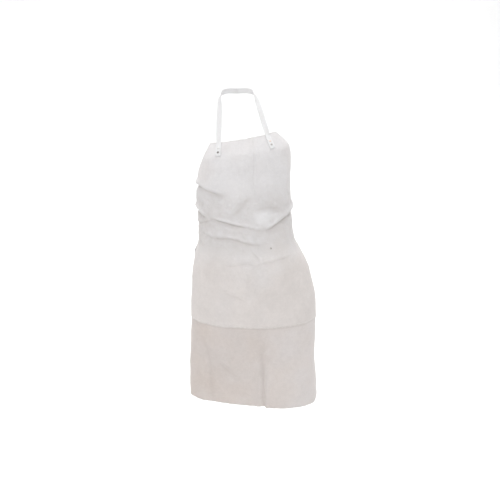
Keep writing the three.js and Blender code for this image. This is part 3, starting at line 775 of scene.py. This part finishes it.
class Finish:
    """A material's nodes, with short calls for those that the finishes use."""

    def __init__(self, name):
        self.material = bpy.data.materials.new(name)
        self.material.use_nodes = True
        self.tree = self.material.node_tree
        self.surface = self.tree.nodes["Principled BSDF"]
        self.place = self.node("TexCoord").outputs["Object"]

    def node(self, kind, inputs=None, **settings):
        node = self.tree.nodes.new("ShaderNode" + kind)
        for name, value in settings.items():
            setattr(node, name, value)
        for name, value in (inputs or {}).items():
            self.put(node.inputs[name], value)
        return node

    def put(self, socket, value):
        if isinstance(value, bpy.types.NodeSocket):
            self.tree.links.new(value, socket)
        else:
            socket.default_value = (*value, 1) if socket.type == "RGBA" else value

    def set(self, **inputs):
        """Sets sockets of the shader, where a name's underscores are spaces, and gives the material."""
        for name, value in inputs.items():
            self.put(self.surface.inputs[name.replace("_", " ")], value)
        return self.material

    def noise(self, size, detail=3.0, distortion=0.0, stretch=None):
        """Noise with features of a given size in millimetres, stretched along the axes if asked."""
        place = self.place
        if stretch:
            place = self.node("Mapping", {"Vector": place, "Scale": stretch}).outputs["Vector"]
        settings = {"Vector": place, "Scale": 1 / (size * MM), "Detail": detail, "Distortion": distortion}
        return self.node("TexNoise", settings).outputs["Fac"]

    def math(self, operation, first, second=0.0, third=0.0):
        node = self.node("Math", {0: first, 1: second, 2: third}, operation=operation)
        return node.outputs["Value"]

    def times(self, first, second):
        return self.math("MULTIPLY", first, second)

    def plus(self, first, second):
        return self.math("ADD", first, second)

    def most(self, first, second):
        return self.math("MAXIMUM", first, second)

    def ramp(self, value, low, high, to_low=0.0, to_high=1.0):
        inputs = {"Value": value, "From Min": low, "From Max": high, "To Min": to_low, "To Max": to_high}
        return self.node("MapRange", inputs).outputs["Result"]

    def mix(self, share, first, second, blend="MIX"):
        inputs = {"Factor": share, 6: first, 7: second}
        return self.node("Mix", inputs, data_type="RGBA", blend_type=blend).outputs[2]

    def mark(self, name):
        return self.node("Attribute", attribute_name=name).outputs["Fac"]

    def lengths(self):
        """The lengths across and along, in metres, from the piece's own map."""
        mapped = self.node("UVMap", uv_map="lengths").outputs["UV"]
        parts = self.node("SeparateXYZ", {"Vector": mapped})
        return parts.outputs["X"], parts.outputs["Y"]

    def bump(self, height, distance, strength=1.0, normal=None):
        inputs = {"Height": height, "Distance": distance * MM, "Strength": strength}
        if normal is not None:
            inputs["Normal"] = normal
        return self.node("Bump", inputs).outputs["Normal"]


def nap_leather(name, light, dark, warm, dirt_and_shade, painted_highlight, upper):
    """The napped outer face of split leather: brushed patches, fine fibres, wrinkles and rubbed edges, with
    painted light: shade in creases, fold hollows and round the waist, lighter and darker sides, and
    highlights on rolls and bulges.
    """
    finish = Finish(name)
    across, down = finish.lengths()
    patches = finish.noise(85, 3, 0.6)
    brushed = finish.noise(13, 4, 1.0)
    fibres = finish.noise(1.3, 4, 1.6, (1, 1, 0.5))
    from_middle = finish.math("SUBTRACT", finish.noise(20, 2, 0.9), 0.5)
    wrinkles = finish.ramp(finish.math("ABSOLUTE", from_middle), 0, 0.035)
    shade = finish.math("MULTIPLY_ADD", brushed, 1.0, patches)
    if upper:
        # Lighter towards the bib's upper left: painted light.
        beside = finish.ramp(across, -0.2, 0.02, 0.4, 0)
        shade = finish.math("MULTIPLY_ADD", beside, finish.ramp(down, 0.1, 0.17, 1, 0), shade)
    else:
        # Darker left of the skirt's flat crease and lighter towards the right: painted shade and light.
        shade = finish.plus(shade, finish.ramp(across, 0.03, 0.055, -0.18, 0.1))
        shade = finish.plus(shade, finish.ramp(across, 0.055, 0.24, 0, 0.4))
    colour = finish.mix(finish.ramp(shade, 0.55, 1.45), dark, light)
    if upper:
        beside = finish.ramp(finish.math("ABSOLUTE", across), 0.07, 0.17, 0, 0.22)
        warmed = finish.plus(beside, finish.ramp(down, 0.25, 0.47))
    else:
        warmed = finish.ramp(across, 0.16, -0.2, 0.1, 0.8)
    warmed = finish.plus(warmed, finish.ramp(finish.noise(110, 2), 0.35, 0.65, -0.22, 0.22))
    colour = finish.mix(warmed, colour, warm, "MULTIPLY")
    flecks = finish.ramp(finish.noise(2.2, 2), 0.72, 0.82, 0, 0.2)
    # Toward the colour for dirt and shade: flecks, creases (painted shade as well as rubbed dirt), rubbed
    # edges, wrinkles and fibres.
    darkened = finish.most(flecks, finish.times(finish.mark("crease"), 0.5))
    rub_and_shade = finish.times(finish.mark("edge"), finish.ramp(finish.noise(9, 3), 0.35, 0.65, 0.1, 0.6))
    darkened = finish.most(darkened, rub_and_shade)
    darkened = finish.most(darkened, finish.ramp(wrinkles, 0, 1, 0.07, 0))
    darkened = finish.most(darkened, finish.ramp(fibres, 0.3, 0.56, 0.22, 0))
    if upper:
        # A darker band round the waist, painted shade as well as rubbed grime: stronger towards the left,
        # and lifted on rolls and bulges as painted highlight.
        above = finish.ramp(down, (WAIST_BAND[0] - 15) * MM, (WAIST_BAND[0] + 45) * MM)
        below = finish.ramp(down, (WAIST_BAND[1] - 30) * MM, WAIST_BAND[1] * MM, 1, 0)
        waist = finish.times(above, below)
        rub_and_shade = finish.times(waist, finish.ramp(brushed, 0.3, 0.7, 0.08, 0.26))
        raised = finish.most(finish.mark("roll"), finish.mark("proud"))
        rub_and_shade = finish.times(rub_and_shade, finish.ramp(raised, 0, 1, 1, 0))
        rub_and_shade = finish.times(rub_and_shade, finish.ramp(across, -0.16, -0.04, 1.6, 1))
        darkened = finish.plus(darkened, rub_and_shade)
    # Darker in the hollows of folds: painted shade.
    darkened = finish.math("MULTIPLY_ADD", finish.mark("hollow"), 0.1, darkened)
    colour = finish.mix(darkened, colour, dirt_and_shade)
    # Lighter on rolls, and most on the bulges: a painted highlight.
    lit = finish.math("MULTIPLY_ADD", finish.mark("proud"), 0.48, finish.times(finish.mark("roll"), 0.1))
    colour = finish.mix(lit, colour, painted_highlight)
    normal = finish.bump(finish.noise(5.5, 4, 0.5), 0.6, 0.6)
    normal = finish.bump(wrinkles, 0.28, 0.55, normal)
    if upper:
        crinkles = finish.times(finish.noise(11, 2, 0.7), waist)
        normal = finish.bump(crinkles, 2.4, 0.9, normal)
        normal = finish.bump(seam_holes(finish, across, down), 0.7, 1.0, normal)
    normal = finish.bump(fibres, 0.42, 0.85, normal)
    finish.set(Base_Color=colour, Normal=normal, Roughness=finish.ramp(brushed, 0.3, 0.7, 0.86, 0.98))
    return finish.set(Specular_IOR_Level=0.18, Sheen_Weight=0.2, Sheen_Roughness=0.45)


def seam_holes(finish, across, down):
    """Dimples where the seam's thread goes into the leather, 0 in each hole and 1 elsewhere."""
    first = STITCH_FIRST - (STITCH_PITCH - STITCH_LONG) / 2
    along = finish.math("PINGPONG", finish.math("SUBTRACT", across, first * MM), STITCH_PITCH / 2 * MM)
    aside = finish.math("SUBTRACT", down, STITCH_DOWN * MM)
    away = finish.math("SQRT", finish.plus(finish.math("POWER", along, 2), finish.math("POWER", aside, 2)))
    return finish.ramp(away, HOLE_CORE * MM, HOLE_WIDE * MM)


def flesh_leather(name, light, dark):
    """The rougher inner face of split leather, with coarse loose fibres."""
    finish = Finish(name)
    strands = finish.noise(2.4, 5, 1.6, (1, 1, 0.45))
    patches = finish.noise(45, 3, 0.4)
    shade = finish.math("MULTIPLY_ADD", strands, 0.9, patches)
    colour = finish.mix(finish.ramp(shade, 0.7, 1.2), dark, light)
    normal = finish.bump(strands, 0.5, 0.8)
    normal = finish.bump(finish.noise(9, 4, 0.8), 0.5, 0.5, normal)
    finish.set(Base_Color=colour, Normal=normal, Roughness=finish.ramp(strands, 0.3, 0.7, 0.9, 1.0))
    return finish.set(Specular_IOR_Level=0.12, Sheen_Weight=0.25, Sheen_Roughness=0.5)


def cut_edge(name, light, dark):
    """The raw cut edge of the leather, where its layered fibres show."""
    finish = Finish(name)
    layers = finish.noise(0.7, 4, 0.8, (0.4, 0.4, 1))
    colour = finish.mix(finish.ramp(layers, 0.35, 0.65), dark, light)
    normal = finish.bump(layers, 0.3, 0.8)
    finish.set(Base_Color=colour, Normal=normal, Roughness=finish.ramp(layers, 0.3, 0.7, 0.88, 1.0))
    return finish.set(Specular_IOR_Level=0.1, Sheen_Weight=0.15)


def woven_tape(name, light, dark):
    """White cotton tape in a herringbone weave, with a tight selvedge at both edges and a little grime."""
    finish = Finish(name)
    across, along = finish.lengths()
    zigzag = finish.math("PINGPONG", across, WEAVE_ZIGZAG * MM)
    slant = finish.plus(along, zigzag)
    ribs = finish.math("SINE", finish.times(slant, 2 * math.pi / (WEAVE_RIB * MM)))
    yarns = finish.math("SINE", finish.times(across, 2 * math.pi / (WEAVE_YARN * MM)))
    weave = finish.math("MULTIPLY_ADD", yarns, 0.45, ribs)
    from_edge = finish.math("PINGPONG", across, TAPE_WIDE / 2 * MM)
    selvedge = finish.ramp(from_edge, 0.9 * MM, 1.6 * MM, 1, 0)
    weave = finish.math("MULTIPLY_ADD", selvedge, 0.8, weave)
    colour = finish.mix(finish.ramp(weave, -1.2, 1.2), dark, light)
    grime = finish.times(finish.ramp(finish.noise(24, 3), 0.45, 0.75, 0, 0.35), 0.8)
    colour = finish.mix(grime, colour, (0.62, 0.60, 0.58))
    normal = finish.bump(weave, 0.07, 0.5)
    normal = finish.bump(finish.noise(0.6, 2), 0.015, 0.3, normal)
    finish.set(Base_Color=colour, Normal=normal, Roughness=finish.ramp(weave, -1.2, 1.2, 0.95, 0.8))
    return finish.set(Specular_IOR_Level=0.15, Sheen_Weight=0.1, Sheen_Roughness=0.5)


def sewing_thread(name, light, dark):
    """Twisted white thread, its strands as slanted stripes."""
    finish = Finish(name)
    along, round_it = finish.lengths()
    twist = finish.times(along, 2 * math.pi / (THREAD_TWIST * MM))
    turn = finish.math("MULTIPLY_ADD", round_it, STITCH_SIDES / MM, twist)
    strands = finish.math("SINE", turn)
    colour = finish.mix(finish.ramp(strands, -1, 1), dark, light)
    finish.set(Base_Color=colour, Normal=finish.bump(strands, 0.08, 0.7), Sheen_Weight=0.2)
    return finish.set(Roughness=finish.ramp(strands, -1, 1, 0.9, 0.7))


def dulled_steel(name, bright, tarnish, share):
    """Dulled steel with brownish tarnish in patches and fine scratches."""
    finish = Finish(name)
    patches = finish.noise(1.8, 4, 0.6)
    scratches = finish.noise(0.35, 3, 0, (1, 0.15, 1))
    darkened = finish.ramp(patches, 0.62 - share, 0.78 - share)
    colour = finish.mix(darkened, bright, tarnish)
    rough = finish.math("MULTIPLY_ADD", darkened, 0.25, finish.ramp(scratches, 0.3, 0.7, 0.28, 0.44))
    normal = finish.bump(scratches, 0.03, 0.6)
    return finish.set(Base_Color=colour, Normal=normal, Roughness=rough, Metallic=1.0)


def pale_floor(name):
    finish = Finish(name)
    shade = finish.ramp(finish.noise(400, 3), 0.3, 0.7)
    colour = finish.mix(shade, (0.90, 0.90, 0.90), (0.93, 0.93, 0.93))
    return finish.set(Base_Color=colour, Roughness=0.8, Specular_IOR_Level=0.1)


def make_floor():
    """A plain pale floor that rises behind in one smooth sweep."""
    half, front, bend_at, bend, top = 9.0, -6.0, 4.5, 2.5, 5.0
    angles = np.linspace(0, math.pi / 2, 17)
    line = [(front, 0.0), *((bend_at + bend * math.sin(a), bend * (1 - math.cos(a))) for a in angles)]
    line.append((bend_at + bend, top))
    verts = [(sign * half / MM, y / MM, (FLOOR_Z + z) / MM) for y, z in line for sign in (-1, 1)]
    faces = [(2 * i, 2 * i + 1, 2 * i + 3, 2 * i + 2) for i in range(len(line) - 1)]
    floor = new_object("floor", verts, faces, [pale_floor("floor_pale")])


def area_light(name, at, towards, wide, high, power):
    lamp = bpy.data.lights.new(name, "AREA")
    lamp.shape = "RECTANGLE"
    lamp.size, lamp.size_y = wide, high
    lamp.energy = power
    thing = add_object(name, lamp)
    thing.location = at
    thing.rotation_euler = (Vector(towards) - Vector(at)).to_track_quat("-Z", "Y").to_euler()
    thing.visible_camera = False


def studio():
    """Soft light from the front and above, a white surround and the camera."""
    scene = bpy.context.scene
    area_light("key", (0.2, -3.3, 1.3), (0.03, -0.15, -0.5), 2.2, 1.6, 50)
    area_light("above", (0.0, -0.8, 2.6), (0.03, -0.1, -0.5), 3.0, 3.0, 21)
    area_light("left_fill", (-3.2, -1.6, 0.4), (0.0, -0.1, -0.5), 1.6, 2.4, 20)
    area_light("right_fill", (3.2, -1.6, 0.4), (0.0, -0.1, -0.5), 1.6, 2.4, 11)
    area_light("behind", (-0.4, 3.0, 1.2), (0.0, 0.0, -0.5), 2.0, 0.9, 9)
    area_light("backdrop", (0.0, 1.6, 3.0), (0.0, 4.0, -1.0), 7.0, 2.0, 260)
    world = bpy.data.worlds.new("surround")
    world.use_nodes = True
    world.node_tree.nodes["Background"].inputs["Color"].default_value = (1, 1, 1, 1)
    world.node_tree.nodes["Background"].inputs["Strength"].default_value = 0.5
    scene.world = world
    camera = bpy.data.cameras.new("camera")
    camera.sensor_width = 36
    camera.lens = CAMERA_LENS
    thing = add_object("camera", camera)
    thing.location = CAMERA_AT
    thing.rotation_euler = (CAMERA_TILT, 0, 0)
    scene.camera = thing
    scene.view_settings.view_transform = "Standard"


def place_piece(piece, slot, *nodes):
    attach(piece, "root")
    if nodes:
        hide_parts(*nodes)
    return piece


def make_apron():
    upper = [
        # Each nap: light and dark tones, a warm tint, a colour for dirt and painted shade, and a painted
        # highlight colour.
        nap_leather("leather_nap_upper", (0.69, 0.677, 0.683), (0.60, 0.587, 0.592),
                    (0.955, 0.916, 0.88), (0.42, 0.39, 0.37), (0.75, 0.745, 0.755), True),
        flesh_leather("leather_flesh_upper", (0.63, 0.60, 0.57), (0.49, 0.455, 0.43)),
        cut_edge("leather_cut_upper", (0.66, 0.63, 0.61), (0.50, 0.47, 0.44)),
    ]
    lower = [
        nap_leather("leather_nap_lower", (0.622, 0.586, 0.574), (0.537, 0.502, 0.49),
                    (0.99, 0.945, 0.90), (0.38, 0.34, 0.32), (0.66, 0.625, 0.61), False),
        flesh_leather("leather_flesh_lower", (0.59, 0.54, 0.51), (0.46, 0.415, 0.385)),
        cut_edge("leather_cut_lower", (0.62, 0.57, 0.54), (0.48, 0.43, 0.40)),
    ]
    tape = woven_tape("tape_weave", (0.75, 0.748, 0.755), (0.61, 0.608, 0.615))
    thread = sewing_thread("thread_white", (0.82, 0.81, 0.80), (0.62, 0.60, 0.58))
    steel = dulled_steel("rivet_steel", (0.44, 0.42, 0.40), (0.20, 0.16, 0.13), 0.1)
    # Two rivets take lighter and darker copies of the same steel: a painted glint and painted shade.
    steel_painted_shade = dulled_steel("rivet_steel_painted_shade", (0.22, 0.21, 0.20), (0.08, 0.065, 0.05), 0.16)
    steel_painted_glint = dulled_steel("rivet_steel_painted_glint", (0.74, 0.73, 0.72), (0.42, 0.38, 0.34), 0.0)
    coppery_steel = dulled_steel("rivet_steel_coppery", (0.76, 0.64, 0.58), (0.40, 0.28, 0.21), 0.04)
    rivet_steel = {
        "strap_rivet_left_upper": steel_painted_glint,
        "strap_rivet_left_lower": steel_painted_shade,
        "strap_rivet_right_upper": coppery_steel,
    }
    buckle_steel = dulled_steel("buckle_steel", (0.55, 0.54, 0.53), (0.30, 0.26, 0.23), 0.02)

    bib = leather_panel("bib_leather", banded(0, *BIB_ROWS), 0, upper, False)
    place_piece(bib, "leather_upper", "bib_panel")
    skirt_downs = banded(LAP_TOP, *SKIRT_ROWS)
    skirt = leather_panel("skirt_leather", skirt_downs, -LEATHER_THICK - LAP_GAP, lower, True)
    place_piece(skirt, "leather_lower", "skirt_panel")
    place_piece(neck_strap(tape), "tape", "neck_strap")
    place_piece(waist_strap(tape), "tape", "waist_strap")
    thread_row = place_piece(stitches(thread), "tape")

    stack = TAPE_LIFT + TAPE_THICK
    ends = (("left", NECK_END_LEFT, NECK_RIVETS_LEFT), ("right", NECK_END_RIGHT, NECK_RIVETS_RIGHT))
    for side, (at_top, at_end), rivets in ends:
        for height, down in rivets.items():
            across = at_top + (at_end - at_top) * down / NECK_END_LENGTH
            node = f"strap_rivet_{side}_{height}"
            metal = rivet_steel.get(node, steel)
            place_piece(rivet(node + "_steel", across, down, stack, metal), "rivet_metal", node)
    for side, rows, sign in (("left", LEFT, -1), ("right", RIGHT, 1)):
        across = sign * (column(rows, "reach", WAIST_DOWN) - WAIST_RIVET)
        node = f"waist_rivet_{side}"
        place_piece(rivet(node + "_steel", across, WAIST_DOWN, stack, steel), "rivet_metal", node)
    place_piece(rivet("front_rivet_steel", *FRONT_RIVET, 0, steel), "rivet_metal", "front_rivet")
    place_piece(buckle(buckle_steel), "buckle_metal", "waist_buckle")


make_apron()
make_floor()
studio()
